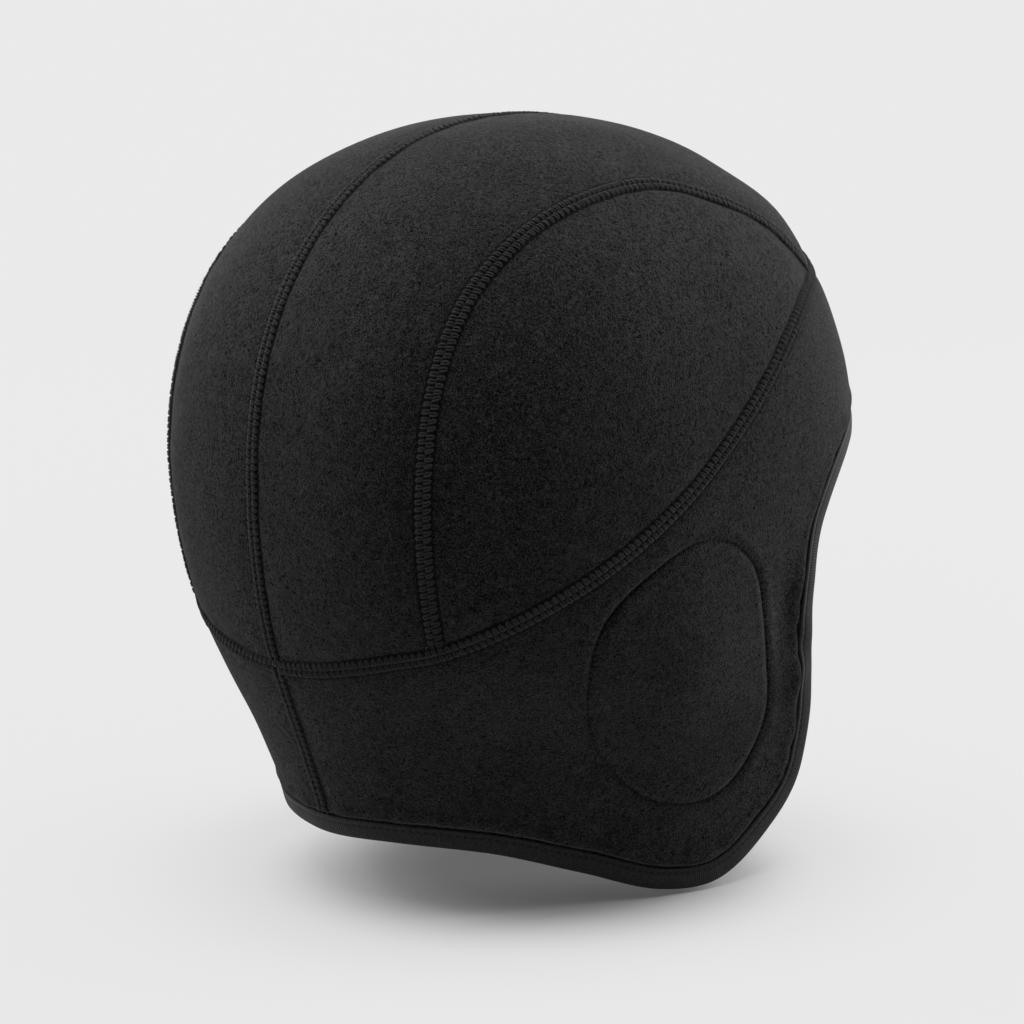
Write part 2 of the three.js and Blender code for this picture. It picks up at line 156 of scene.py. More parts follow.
# Steps along a line when the nearest point on it is looked for, points looked at together, and the
# distance that stands for no seam at all
SAMPLE = 0.5
BATCH = 4000
FAR_AWAY = 50.0

# Steps across the panels: far from a seam, beside one, and how far beside reaches
COARSE, FINE, BESIDE = 1.7, 0.45, 4


def mix(low, high, share):
    """low + (high - low) * share."""
    return low + (high - low) * share


def smooth(low, high, value):
    """0 below low, 1 above high, and 3t^2 - 2t^3 between them."""
    t = np.clip((value - low) / (high - low), 0, 1)
    return t * t * (3 - 2 * t)


def bell(value, width):
    """exp(-(value / width)^2)."""
    return np.exp(-((value / width) ** 2))


def unit(vectors):
    """Vectors divided by their lengths."""
    return vectors / np.maximum(np.linalg.norm(vectors, axis=-1, keepdims=True), 1e-12)


def cubic(t, start, end, start_slope, end_slope):
    """The cubic from start to end with those slopes, at shares t."""
    first = (2 * t**3 - 3 * t**2 + 1) * start + (t**3 - 2 * t**2 + t) * start_slope
    return first + (3 * t**2 - 2 * t**3) * end + (t**3 - t**2) * end_slope


def section(column, share):
    """A column of SECTIONS at shares of the body height: a cubic through its rows, level at the first
    one."""
    down, value = SECTIONS[:, 0], SECTIONS[:, column]
    slope = np.zeros(len(down))
    slope[1:-1] = (value[2:] - value[:-2]) / (down[2:] - down[:-2])
    slope[-1] = (value[-1] - value[-2]) / (down[-1] - down[-2])
    row = np.clip(np.searchsorted(down, share, side="right") - 1, 0, len(down) - 2)
    span = down[row + 1] - down[row]
    t = (share - down[row]) / span
    return cubic(t, value[row], value[row + 1], slope[row] * span, slope[row + 1] * span)


def level_section(y, z):
    """Centre, half width, reach, and roundness in plan and over the crown, of the section at each
    point."""
    share = np.clip((WIDEST_Z - z) / BODY_HEIGHT, 0, 1)
    centre = section(2, share) * BACK_REACH
    front = y < centre
    back_reach = section(4, share) * BACK_REACH - centre
    reach = np.where(front, section(3, share) * FRONT_REACH + centre, back_reach)
    back_plan = mix(PLAN_ROUND["back_high"], PLAN_ROUND["back_low"], share)
    plan = np.where(front, PLAN_ROUND["front"], back_plan)
    crown = np.where(front, CROWN_ROUND["front"], CROWN_ROUND["back"])
    return centre, section(1, share) * HALF_WIDTH, reach, plan, crown


def settle(points):
    """Points moved onto the form's outer face, which is a superellipse in plan: along the level from the
    section's centre below the widest section, and from the middle of that section above it."""
    x, y, z = np.moveaxis(np.asarray(points, float), -1, 0)
    centre, half, reach, plan, crown = level_section(y, z)
    dy = y - centre
    rise = np.maximum(z - WIDEST_Z, 0)
    flat = (np.abs(x / half) ** plan + np.abs(dy / reach) ** plan) ** (1 / plan)
    side_share = x**2 / np.maximum(x**2 + dy**2, 1e-12)
    dome = mix(crown, CROWN_ROUND["side"], side_share)
    over = (flat**dome + (rise / CROWN_HEIGHT) ** dome) ** (-1 / dome)
    high = rise > 0
    scale = np.where(high, over, 1 / np.maximum(flat, 1e-9))
    return np.stack([x * scale, centre + dy * scale, np.where(high, WIDEST_Z + rise * scale, z)], -1)


def outward(points):
    """The form's outward unit vector at points on it, from short steps each way across it."""
    centre = level_section(points[..., 1], points[..., 2])[0]
    rise = np.maximum(points[..., 2] - WIDEST_Z, 0)
    radial = unit(np.stack([points[..., 0], points[..., 1] - centre, rise], -1))
    sideways = np.abs(radial[..., :1]) > math.sqrt(0.5)
    helper = np.where(sideways, np.array([0.0, 1, 0]), np.array([1.0, 0, 0]))
    across = unit(np.cross(helper, radial))
    along = np.cross(radial, across)
    step = WALL / 2
    one = settle(points + across * step) - settle(points - across * step)
    other = settle(points + along * step) - settle(points - along * step)
    return unit(np.cross(one, other))


def side_point(y, z):
    """The form's left side at a place in the side view, below the widest section."""
    centre, half, reach, plan, _ = level_section(y, z)
    inward = np.minimum(np.abs((y - centre) / reach), 1)
    return np.stack([half * (1 - inward**plan) ** (1 / plan), y, z], -1)


def ear_reach(turn):
    """Reach of the ear outline at turns in degrees: a closed cubic through EAR_REACHES."""
    count = len(EAR_REACHES)
    place = np.mod(turn, 360) / 360 * count
    row = np.floor(place).astype(int)
    near = [EAR_REACHES[(row + i) % count] for i in (-1, 0, 1, 2)]
    slopes = (near[2] - near[0]) / 2, (near[3] - near[1]) / 2
    return cubic(place - row, near[1], near[2], *slopes) * EAR_HEIGHT / 2


def ear_point(turn, share):
    """The form at a turn round the ear and a share of the outline's reach."""
    reach = ear_reach(turn) * share
    angle = np.radians(turn)
    return side_point(EAR_Y + reach * np.sin(angle), EAR_Z + reach * np.cos(angle))


def row_point(row):
    """A row of a seam table as a point: its shares times half the width, a reach and the height."""
    side, back, down = row
    reach = FRONT_REACH if back < 0 else BACK_REACH
    return np.array([side * HALF_WIDTH, back * reach, WALL - down * CAP_HEIGHT])


def ear_share(points):
    """Distance from the middle of the ear as a share of the outline's reach, in the side view."""
    back, up = points[..., 1] - EAR_Y, points[..., 2] - EAR_Z
    turn = np.degrees(np.arctan2(back, up))
    return np.hypot(back, up) / ear_reach(turn)


def lift(points):
    """How far the cloth stands out from the form: the ear's bulge, and a bell for each fold."""
    share = np.minimum(ear_share(points), 1)
    height = EAR_BULGE * (1 - share**2)
    for back, down, length, width, tilt, size in FOLDS:
        middle = row_point((1, back, down))
        angle = math.radians(tilt)
        dy, dz = points[..., 1] - middle[1], points[..., 2] - middle[2]
        along = (dz * math.cos(angle) + dy * math.sin(angle)) / (length * CAP_HEIGHT)
        across = (dy * math.cos(angle) - dz * math.sin(angle)) / (width * CAP_HEIGHT)
        height = height + size * FOLD_DEPTH * np.exp(-(along**2) - across**2)
    return height


def curve(points, closed, shares):
    """A centripetal Catmull-Rom curve through points, at shares of its rows: on each span the cubic
    whose end slopes come from chord lengths to the power one half."""
    points = np.asarray(points, float)
    count = len(points)
    place = np.asarray(shares, float) * (count if closed else count - 1)
    row = np.floor(place).astype(int)
    if not closed:
        row = np.minimum(row, count - 2)
        first, last = 2 * points[:1] - points[1:2], 2 * points[-1:] - points[-2:-1]
        longer = np.concatenate([first, points, last])
        p0, p1, p2, p3 = (longer[row + i] for i in range(4))
    else:
        p0, p1, p2, p3 = (points[(row + i) % count] for i in (-1, 0, 1, 2))
    t = (place - row)[:, None]
    d0, d1, d2 = (
        np.sqrt(np.linalg.norm(b - a, axis=1))[:, None] for a, b in ((p0, p1), (p1, p2), (p2, p3))
    )
    start = ((p1 - p0) / d0 - (p2 - p0) / (d0 + d1) + (p2 - p1) / d1) * d1
    end = ((p2 - p1) / d1 - (p3 - p1) / (d1 + d2) + (p3 - p2) / d2) * d1
    return cubic(t, p1, p2, start, end)


class Line:
    """A line on the form, with its points at any share of its length."""

    def __init__(self, points):
        self.points = settle(points)
        steps = np.linalg.norm(np.diff(self.points, axis=0), axis=1)
        self.run = np.concatenate([[0], np.cumsum(steps)])
        self.length = self.run[-1]
        self.pitch = self.length / max(round(self.length / STITCH), 1)

    def at(self, shares):
        """Points at shares of the length, between the nearest two of the line's own."""
        target = np.asarray(shares) * self.length
        columns = [np.interp(target, self.run, self.points[:, i]) for i in range(3)]
        return settle(np.stack(columns, -1))

    def back(self):
        """The same line the other way."""
        return Line(self.points[::-1])


def stretch(points, closed, start=0.0, end=1.0, samples=1500):
    """The line along a curve from one share of its rows to another."""
    return Line(curve(points, closed, np.linspace(start, end, samples)))


def straight(start, end):
    """The line of a straight run between two points, settled on the form."""
    return Line(mix(start, end, np.linspace(0, 1, 200)[:, None]))


def whole_loop(rows):
    """Points of one side's rows and their mirror images, all the way round."""
    left = np.array([row_point(row) for row in rows])
    return np.concatenate([left, left[-2:0:-1] * (-1, 1, 1)])


def spread(length, coarse, fine, band, ends=(True, True)):
    """Shares of a length in steps that grow from fine, within a band of an end, to coarse: the inverse
    of the running sum of one over the step."""
    place = np.linspace(0, length, 2001)
    near = np.full_like(place, length)
    if ends[0]:
        near = np.minimum(near, place)
    if ends[1]:
        near = np.minimum(near, length - place)
    step = mix(fine, coarse, smooth(band * 0.7, band * 2.5, near))
    total = np.concatenate([[0], np.cumsum((1 / step[1:] + 1 / step[:-1]) / 2 * np.diff(place))])
    count = max(int(round(total[-1])), 2)
    return np.interp(np.linspace(0, total[-1], count + 1), total, place) / length


def run_shares(line):
    """How far along a line each of its points lies, as a share of the sum of its steps."""
    steps = np.linalg.norm(np.diff(line, axis=0), axis=1)
    return np.concatenate([[0], np.cumsum(steps)]) / steps.sum()


def coons(low, high, start, finish):
    """The patch between four lines: the sum of both ruled surfaces less the bilinear one, settled on the
    form. low and high run along it, start and finish across it."""
    u, v = run_shares(low)[:, None, None], run_shares(start)[None, :, None]
    both = mix(low[:, None], high[:, None], v) + mix(start[None], finish[None], u)
    corners = mix(mix(low[0], high[0], v), mix(low[-1], high[-1], v), u)
    return settle(both - corners)


def ruled(low, high, shares):
    """Straight rows from each point of low to its partner on high, settled on the form."""
    return settle(mix(low[:, None], high[:, None], np.asarray(shares)[None, :, None]))


def grid_faces(rows, columns):
    """Corner numbers of the four-sided faces of a grid."""
    number = np.arange(rows * columns).reshape(rows, columns)
    corners = [number[:-1, :-1], number[1:, :-1], number[1:, 1:], number[:-1, 1:]]
    return np.stack(corners, -1).reshape(-1, 4)


def join(patches):
    """Points and faces of patches whose edges meet. Each patch is turned so that its faces point out."""
    points, faces, start = [], [], 0
    for patch in patches:
        flat = patch.reshape(-1, 3)
        found = grid_faces(*patch.shape[:2])
        a, b, c, d = (flat[found[:, i]] for i in range(4))
        facing = (np.cross(c - a, d - b) * outward(a)).sum()
        faces.append((found if facing > 0 else found[:, ::-1]) + start)
        points.append(flat)
        start += len(flat)
    points, faces = np.concatenate(points), np.concatenate(faces)
    _, first, number = np.unique(np.round(points, 3), axis=0, return_index=True, return_inverse=True)
    return points[first], number.reshape(-1)[faces]


def open_edges(faces, count):
    """The directed edges that no other face uses the other way."""
    pairs = np.stack([faces, np.roll(faces, -1, axis=1)], -1).reshape(-1, 2)
    pairs = pairs[pairs[:, 0] != pairs[:, 1]]
    ahead = pairs[:, 0].astype(np.int64) * count + pairs[:, 1]
    behind = pairs[:, 1].astype(np.int64) * count + pairs[:, 0]
    return pairs[~np.isin(ahead, behind)]


def drawn_in(points, edges, distance):
    """Points with those on the open edges moved in by a distance, square to the edge and mitred at
    corners."""
    run = points[edges[:, 1]] - points[edges[:, 0]]
    pull = np.zeros_like(points)
    for end in (0, 1):
        which = edges[:, end]
        np.add.at(pull, which, unit(np.cross(outward(points[which]), run)))
    size = np.linalg.norm(pull, axis=1)
    on_edge = size > 0
    moved = points.copy()
    reach = distance / np.maximum(size[on_edge, None] / 2, SHARPEST_MITRE)
    moved[on_edge] = settle(points[on_edge] + unit(pull[on_edge]) * reach)
    return moved


def nearest(points, line):
    """Distance of each point from a line, and how far along the line it lies: from the nearest sample,
    less the part that runs along the line there. It takes a batch of points at a time."""
    count = int(line.length / SAMPLE)
    spine = line.at(np.linspace(0, 1, count + 1))
    direction = unit(np.gradient(spine, axis=0))
    far = np.empty(len(points))
    along = np.empty(len(points))
    squares = (spine**2).sum(1)
    for start in range(0, len(points), BATCH):
        some = points[start:start + BATCH]
        index = np.argmin(squares[None] - 2 * some @ spine.T, axis=1)
        offset = some - spine[index]
        run = (offset * direction[index]).sum(1)
        inside = (index > 0) & (index < count)
        beyond = np.where(inside, 0, run)
        far[start:start + BATCH] = np.sqrt(np.maximum((offset**2).sum(1) - run**2 + beyond**2, 0))
        along[start:start + BATCH] = index * line.length / count + run
    return far, along


def seam_relief(distance):
    """Height of the cloth near a flatlock seam: a low band of two humps between three pressed lines, in
    a shallow trough where the cloth is drawn down."""
    inside = 1 - smooth(BAND - 0.3, BAND + 0.5, distance)
    humps = 0.24 + 0.14 * np.abs(np.sin(np.pi * np.clip(distance / BAND, 0, 1)))
    pressed = 0.25 * bell(distance, 0.35) + 0.12 * bell(distance - BAND - 0.25, 0.5)
    return humps * inside - pressed - 0.3 * bell(distance - BAND, 3.2)


def puckers(distance, along, seed):
    """Small uneven gathers beside a seam that fade out over a few millimetres: two sine waves along it,
    one of them with a wandering phase, times a bell across it."""
    wave = np.sin(along / 2.3 + 1.7 * np.sin(along / 9.1 + seed)) + 0.6 * np.sin(along / 4.1 + seed * 2)
    return PUCKER * wave * bell(distance - 3.0, 3.5)


def unevenness(points):
    """Slow swells of the cloth: a sum of sine waves, two of each length, in seeded directions."""
    chance = np.random.default_rng(SWELL_SEED)
    height = np.zeros(points.shape[:-1])
    for length in SWELLS:
        for _ in range(2):
            direction = unit(chance.normal(size=3)) * (2 * math.pi / length)
            height += length * SWELL_SHARE * np.sin(points @ direction + chance.uniform(0, 6.3))
    return height


# Materials

class Number:
    """A number socket. Python arithmetic on it adds Math nodes."""

    def __init__(self, finish, socket):
        self.finish, self.socket = finish, socket

    def math(self, operation, *others, first=None):
        values = ([self] if first is None else [first, self]) + list(others)
        settings = {"operation": operation}
        return Number(self.finish, self.finish.node("ShaderNodeMath", settings, dict(enumerate(values))))

    def __add__(self, other): return self.math("ADD", other)
    def __radd__(self, other): return self.math("ADD", other)
    def __sub__(self, other): return self.math("SUBTRACT", other)
    def __rsub__(self, other): return self.math("SUBTRACT", first=other)
    def __mul__(self, other): return self.math("MULTIPLY", other)
    def __rmul__(self, other): return self.math("MULTIPLY", other)
    def __truediv__(self, other): return self.math("DIVIDE", other)
    def __rtruediv__(self, other): return self.math("DIVIDE", first=other)
    def __pow__(self, other): return self.math("POWER", other)
    def __abs__(self): return self.math("ABSOLUTE")
    def sine(self): return self.math("SINE")
    def most(self, other): return self.math("MAXIMUM", other)


class Finish:
    """A material made of nodes. node() adds one, sets its settings and then its sockets, and gives one
    of its outputs."""

    def __init__(self, name):
        self.material = bpy.data.materials.new(name)
        self.material.use_nodes = True
        self.tree = self.material.node_tree
        self.shader = self.tree.nodes["Principled BSDF"]

    def feed(self, socket, value):
        """Links a socket to another one, or gives it a plain value."""
        if isinstance(value, Number):
            self.tree.links.new(value.socket, socket)
        elif isinstance(value, bpy.types.NodeSocket):
            self.tree.links.new(value, socket)
        else:
            socket.default_value = value

    def node(self, kind, settings=None, inputs=None, output=0):
        node = self.tree.nodes.new(kind)
        for name, value in (settings or {}).items():
            setattr(node, name, value)
        for name, value in (inputs or {}).items():
            self.feed(node.inputs[name], value)
        return node.outputs[output]

    def noise(self, where, scale, detail=2.0, distortion=0.0):
        inputs = {"Vector": where, "Scale": scale, "Detail": detail, "Distortion": distortion}
        return Number(self, self.node("ShaderNodeTexNoise", None, inputs))

    def place(self):
        return self.node("ShaderNodeTexCoord", output="Object")

    def parts(self, name):
        """The two numbers of a UV map."""
        place = self.node("ShaderNodeUVMap", {"uv_map": name})
        return [Number(self, self.node("ShaderNodeSeparateXYZ", None, {0: place}, i)) for i in (0, 1)]

    def moved(self, where, offset):
        return self.node("ShaderNodeMapping", None, {"Vector": where, "Location": offset})

    def length(self, where):
        settings = {"operation": "LENGTH"}
        return Number(self, self.node("ShaderNodeVectorMath", settings, {0: where}, "Value"))

    def ramp(self, value, low, high):
        """0 below low to 1 above high, eased."""
        settings = {"interpolation_type": "SMOOTHSTEP"}
        inputs = {"Value": value, "From Min": low, "From Max": high}
        return Number(self, self.node("ShaderNodeMapRange", settings, inputs))

    def blend(self, share, dark, light):
        """A colour between two, by a share. Sockets 6 and 7 of the node are its colours."""
        inputs = {"Factor": share, 6: dark, 7: light}
        return self.node("ShaderNodeMix", {"data_type": "RGBA"}, inputs, 2)

    def bump(self, height, distance, strength=1.0):
        inputs = {"Height": height, "Distance": distance, "Strength": strength}
        return self.node("ShaderNodeBump", None, inputs)

    def surface(self, **sockets):
        """Feeds sockets of the surface shader, named with _ for each space."""
        for name, value in sockets.items():
            self.feed(self.shader.inputs[name.replace("_", " ")], value)


def grey(value, tint=(1.0, 1.0, 1.0)):
    """A grey times a tint, opaque."""
    return tuple(value * t for t in tint) + (1.0,)


# Curls of the fleece: where each of their noises is moved to, its cells in a metre, and how far from its
# middle value a thread ends
CURLS = ((0.0, 640, 0.05), (0.31, 800, 0.05), (0.67, 1040, 0.06))
CURL_TWIST = 1.6
MOTTLE_CELLS = 110
FLEECE_DARK, FLEECE_LIGHT = grey(0.0004, (1.0, 1.0, 1.03)), grey(0.035, (0.98, 1.0, 1.02))

# Ribs of the tape and plies of the yarn: their spacing. Dust: its cells in a metre
TAPE_RIB, TAPE_DUST_CELLS, TAPE_WOBBLE_CELLS = 0.68, 1500, 300
TAPE_DARK, TAPE_LIGHT = grey(0.001), grey(0.024, (0.98, 1.0, 1.03))
YARN_PLY, YARN_DUST_CELLS = 0.45, 2400
YARN_DARK, YARN_LIGHT = grey(0.004), grey(0.036, (0.98, 1.0, 1.02))

WHOLE_TURN = 2 * math.pi


def fleece_finish():
    """Black brushed fleece: short curled fibres as thin light threads where noises cross their middle
    value, over a soft mottling, and thinner beside a seam. Dark rows at the sides and the middle of each
    seam are needle marks darkened with painted shade, a dotted row just outside each seam is a painted
    shadow of its edge, and a thin line is painted shade in the ear's groove, dotted with marks along
    it, and in the crease above the tape."""
    finish = Finish("black_fleece")
    where = finish.place()
    curls = 0.0
    for offset, cells, width in CURLS:
        place = finish.moved(where, (offset, -offset, offset * 0.6))
        value = finish.noise(place, cells, 1.0, CURL_TWIST)
        curls = finish.ramp(abs(value - 0.5), width, 0.0) + curls
    mottle = finish.noise(where, MOTTLE_CELLS, 3.0)
    stitches, away = finish.parts("seam")
    turn, groove = finish.parts("groove")
    between = (stitches * WHOLE_TURN).sine() * 0.5 + 0.5
    # Painted shade: needle rows at the sides and the middle of each seam, and a painted shadow dotted
    # along just outside its edge, darken the colour
    edges = finish.ramp(abs(away - BAND + 0.15), 0.5, 0.15) * 0.75
    middle = finish.ramp(away, 0.5, 0.15) * 0.85
    beside = finish.ramp(abs(away - BAND - 0.3), 0.35, 0.05) * (between * 0.7 + 0.2)
    # Painted shade: a thin dark line in the ear's groove, dotted with marks along it, and even along the
    # crease above the tape
    line = finish.ramp(groove, 0.9, 0.35) * ((turn * (WHOLE_TURN / MARK)).sine() * 0.3 + 0.7)
    needle_marks_and_painted_shade = edges.most(middle).most(beside).most(line)
    pile = 1.0 - finish.ramp(away, BAND + 1.0, BAND + 0.3) * 0.6
    shade = ((curls * 0.65 - 0.39) * pile + (mottle - 0.5) * 0.25 + 0.42).most(0.0)
    shade = (shade ** 2.0 * 1.3 + 0.03) * (1.0 - needle_marks_and_painted_shade)
    height = curls * 0.08 * pile + mottle * 0.25 - needle_marks_and_painted_shade * 0.25
    finish.surface(
        Base_Color=finish.blend(shade, FLEECE_DARK, FLEECE_LIGHT),
        Roughness=0.95,
        Specular_IOR_Level=0.06,
        Sheen_Weight=0.34,
        Sheen_Roughness=0.25,
        Sheen_Tint=grey(0.4),
        Normal=finish.bump(height, 0.0009, 1.0),
    )
    return finish.material


def tape_finish():
    """Black stretch tape: fine ribs across its lower part, and a row of needle pits below its upper
    edge, darkened with painted shade, from the UV map whose unit is a millimetre."""
    finish = Finish("black_stretch_tape")
    where = finish.place()
    run, across = finish.parts("tape")
    wobble = finish.noise(where, TAPE_WOBBLE_CELLS)
    ribs = (run * (WHOLE_TURN / TAPE_RIB) + wobble * 2.0).sine() * finish.ramp(across, 1.8, 3.0)
    dust = finish.noise(where, TAPE_DUST_CELLS)
    # Painted shade: the needle pits and their row are darkened in the colour
    row = finish.ramp(abs(across - TAPE_PITS), 0.6, 0.2)
    pits = row * finish.ramp((run * (WHOLE_TURN / TAPE_STITCH)).sine(), 0.1, 0.8)
    shade = (ribs * 0.1 + (dust - 0.5) * 1.3 + 0.5) * (1.0 - pits.most(row * 0.12))
    finish.surface(
        Base_Color=finish.blend(shade, TAPE_DARK, TAPE_LIGHT),
        Roughness=0.75,
        Specular_IOR_Level=0.16,
        Sheen_Weight=0.22,
        Sheen_Roughness=0.35,
        Sheen_Tint=grey(0.4),
        Normal=finish.bump(ribs * 0.35 + dust * 0.6 - row * 0.5, 0.00018, 0.9),
    )
    return finish.material


def yarn_finish():
    """Black seam yarn: plies that wind round it, from the UV map: millimetres along and turns round."""
    finish = Finish("black_seam_yarn")
    run, turn = finish.parts("yarn")
    plies = ((run / YARN_PLY + turn * 2) * WHOLE_TURN).sine()
    dust = finish.noise(finish.place(), YARN_DUST_CELLS)
    finish.surface(
        Base_Color=finish.blend(plies * 0.25 + dust * 0.7, YARN_DARK, YARN_LIGHT),
        Roughness=0.8,
        Specular_IOR_Level=0.2,
        Sheen_Weight=0.3,
        Sheen_Roughness=0.35,
        Sheen_Tint=grey(0.4),
        Normal=finish.bump(plies * 0.5 + dust * 0.4, 0.00012, 0.7),
    )
    return finish.material


# Pieces

def piece(name, points, faces, material, maps):
    """A mesh object from points in millimetres and faces, smooth, with its UV maps."""
    mesh = bpy.data.meshes.new(name)
    mesh.from_pydata((np.asarray(points) * MM).tolist(), [], [list(face) for face in faces])
    mesh.polygons.foreach_set("use_smooth", np.ones(len(mesh.polygons), bool))
    corners = np.empty(len(mesh.loops), np.int32)
    mesh.loops.foreach_get("vertex_index", corners)
    for word, values in maps.items():
        mesh.uv_layers.new(name=word).data.foreach_set("uv", np.asarray(values)[corners].ravel())
    mesh.materials.append(material)
    mesh.validate()
    thing = bpy.data.objects.new(name, mesh)
    bpy.context.scene.collection.objects.link(thing)
    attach(thing, "root")
    return thing


def closed_cloth(faces, edges, outer, inner):
    """A closed sheet: the outer face, the inner face turned round, and a wall along each open edge."""
    count = len(outer)
    inside = faces[:, ::-1] + count
    walls = np.stack([edges[:, 1], edges[:, 0], edges[:, 0] + count, edges[:, 1] + count], -1)
    everything = np.concatenate([faces, inside, walls])
    return np.concatenate([outer, inner]), [list(dict.fromkeys(face)) for face in everything.tolist()]


def hem_relief(points):
    """How far the cloth is pressed under the tape, and its gathers above the tape. They are largest in
    the hollow of the front edge."""
    distance, along = nearest(points, rim_line)
    pressed = 0.4 * (1 - smooth(TAPE_WIDTH - 0.9, TAPE_WIDTH + 1.6, distance))
    crease = distance - TAPE_WIDTH - 0.4
    hollow = nearest(row_point(RIM[HOLLOW_ROW])[None], rim_line)[1]
    size = mix(0.12, 0.42, bell(along - hollow, 26))
    wave = np.sin(along / 1.75 + 2.2 * np.sin(along / 7.3)) + 0.7 * np.sin(along / 3.3 + 1.0)
    swell = 0.4 * bell(crease - 2.2, 1.8) - 0.5 * bell(crease, 0.5)
    return pressed, swell + size * wave * bell(crease - 2.5, 4.5), np.abs(crease)


def add_cloth(name, patches, seams, ear=False, hem=False):
    """A left and a right cloth piece from patches of the left one. Its height over the form is the lift,
    the relief of the nearest seam, puckers, and the groove round the ear where it has one. The seam map
    holds the stitches along the nearest seam and the distance away from it, and the groove map the
    distances along and away from the ear's groove or the crease above the tape."""
    points, faces = join(patches)
    edges = open_edges(faces, len(points))
    points = drawn_in(points, edges, -OVERLAP)
    count = len(points)
    far, run = np.full(count, FAR_AWAY), np.zeros(count)
    gathers = np.zeros(count)
    for number, line in enumerate(seams):
        distance, along = nearest(points, line)
        run = np.where(distance < far, along / line.pitch, run)
        far = np.minimum(far, distance)
        gathers += puckers(distance, along, number + 1.0)
    groove, turn = nearest(points, ear_line) if ear else (np.full(count, FAR_AWAY), np.zeros(count))
    height = lift(points) + seam_relief(far) + gathers
    height += -0.3 * bell(groove, 0.6) - 0.3 * bell(groove, 1.6) + 0.2 * bell(groove - 2.6, 1.6)
    pressed = np.zeros(count)
    if hem:
        pressed, folds, crease = hem_relief(points)
        height += folds
        # The crease above the tape joins the groove map, where the fleece paints shade along it at its
        # darkest
        turn = np.where(crease < groove, EVEN, turn)
        groove = np.minimum(crease, groove)
    direction = outward(points)
    maps = {
        "seam": np.tile(np.stack([run, far], -1), (2, 1)),
        "groove": np.tile(np.stack([turn, groove], -1), (2, 1)),
    }
    for side, word in ((1, "left"), (-1, "right")):
        flip = np.array([side, 1, 1])
        tall = height + unevenness(points * flip) * smooth(0.5, 6, far)
        outer = (points + direction * (tall - pressed)[:, None]) * flip
        inner = (points + direction * (tall + pressed - WALL)[:, None]) * flip
        corners, turned = closed_cloth(faces, edges, outer, inner)
        if side < 0:
            turned = [face[::-1] for face in turned]
        thing = piece(f"{name}_{word}_cloth", corners, turned, fleece, maps)
        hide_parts(f"{name}_{word}")


def left_of(line, shares):
    """Points of a line, its direction, and the direction across it to the left as seen from outside."""
    spine = line.at(shares)
    step = 0.5 / line.length
    ahead, behind = line.at(np.minimum(shares + step, 1)), line.at(np.maximum(shares - step, 0))
    run = unit(ahead - behind)
    return spine, run, unit(np.cross(outward(spine), run))


def tubes(paths, up, wide, high, sides):
    """Closed tubes along many paths at once: an ellipse, wide across and high along up, carried along
    each path, and drawn in at both ends."""
    count, steps = paths.shape[:2]
    run = unit(np.gradient(paths, axis=1))
    across = unit(np.cross(run, up))
    over = np.cross(across, run)
    taper = np.ones(steps)
    taper[[0, -1]] = YARN_END
    turn = np.arange(sides) * (2 * math.pi / sides)
    circle = across[:, :, None] * (wide * np.cos(turn))[None, None, :, None]
    circle = circle + over[:, :, None] * (high * np.sin(turn))[None, None, :, None]
    corners = paths[:, :, None] + circle * taper[None, :, None, None]
    ring = np.arange(sides)
    after = (ring + 1) % sides
    one = np.stack([ring, after, after + sides, ring + sides], -1)
    body = (one[None] + (np.arange(steps - 1) * sides)[:, None, None]).reshape(-1, 4)
    starts = np.arange(count) * steps * sides
    faces = (body[None] + starts[:, None, None]).reshape(-1, 4).tolist()
    faces += (ring[::-1][None] + starts[:, None]).tolist()
    faces += (ring[None] + (steps - 1) * sides + starts[:, None]).tolist()
    along = np.cumsum(np.linalg.norm(np.diff(paths, axis=1, prepend=paths[:, :1]), axis=2), axis=1)
    uv = np.stack(np.broadcast_arrays(along[:, :, None], (ring / sides)[None, None]), -1)
    return corners.reshape(-1, 3), faces, uv.reshape(-1, 2)


def add_yarn(name, groups):
    """One piece from several groups of tubes."""
    points, faces, uv, start = [], [], [], 0
    for corners, found, where in groups:
        points.append(corners)
        faces += [[number + start for number in face] for face in found]
        uv.append(where)
        start += len(corners)
    piece(name, np.concatenate(points), faces, yarn, {"yarn": np.concatenate(uv)})


def flatlock(line, seed, trim=(0.0, 0.0)):
    """The yarns of a flatlock seam, less a trim at both ends. In each half of the band, two yarns a
    stitch slant from just past the middle to the side, bow apart on the way and dip at both ends, as a
    sine of the share across it. One half is half a stitch ahead."""
    chance = np.random.default_rng(seed)
    pitch = line.pitch
    share = np.linspace(0, 1, 8)[None, :]
    across = mix(-PAST_MIDDLE, TO_SIDE, share)
    arch = np.sin(np.pi * share) ** 0.7
    groups = []
    for half in (-1, 1):
        stitches = np.arange(round(line.length / pitch)) + 0.5 + half / 4
        stitches = stitches[(stitches * pitch > trim[0]) & (stitches * pitch < line.length - trim[1])]
        count = len(stitches)
        spine, run, left = left_of(line, np.repeat(stitches, 2) * pitch / line.length)
        lean = half * SLANT * pitch * (1 + np.repeat(chance.normal(0, 0.3, count), 2))[:, None]
        side = np.tile([-1, 1], count)[:, None]
        apart = side * mix(0.5 * YARN, BOW + chance.normal(0, 0.05, (2 * count, 1)), arch)
        path = spine[:, None] + left[:, None] * (half * across * BAND)[..., None]
        path = settle(path + run[:, None] * (lean * across + apart)[..., None])
        rise = (YARN_RISE + chance.normal(0, 0.05, 2 * count))[:, None]
        folds = hem_relief(path.reshape(-1, 3))[1].reshape(path.shape[:2])
        tall = lift(path) + folds + seam_relief(np.abs(across) * BAND) - YARN_SUNK + rise * arch
        direction = outward(path)
        groups.append(tubes(path + direction * tall[..., None], direction, YARN * 0.85, YARN * 0.7, 6))
    return groups


def mirrored(groups):
    """The mirror image of groups of tubes, with their faces turned to point outwards."""
    return [(points * (-1, 1, 1), [face[::-1] for face in faces], uv) for points, faces, uv in groups]


fleece = fleece_finish()
tape = tape_finish()
yarn = yarn_finish()

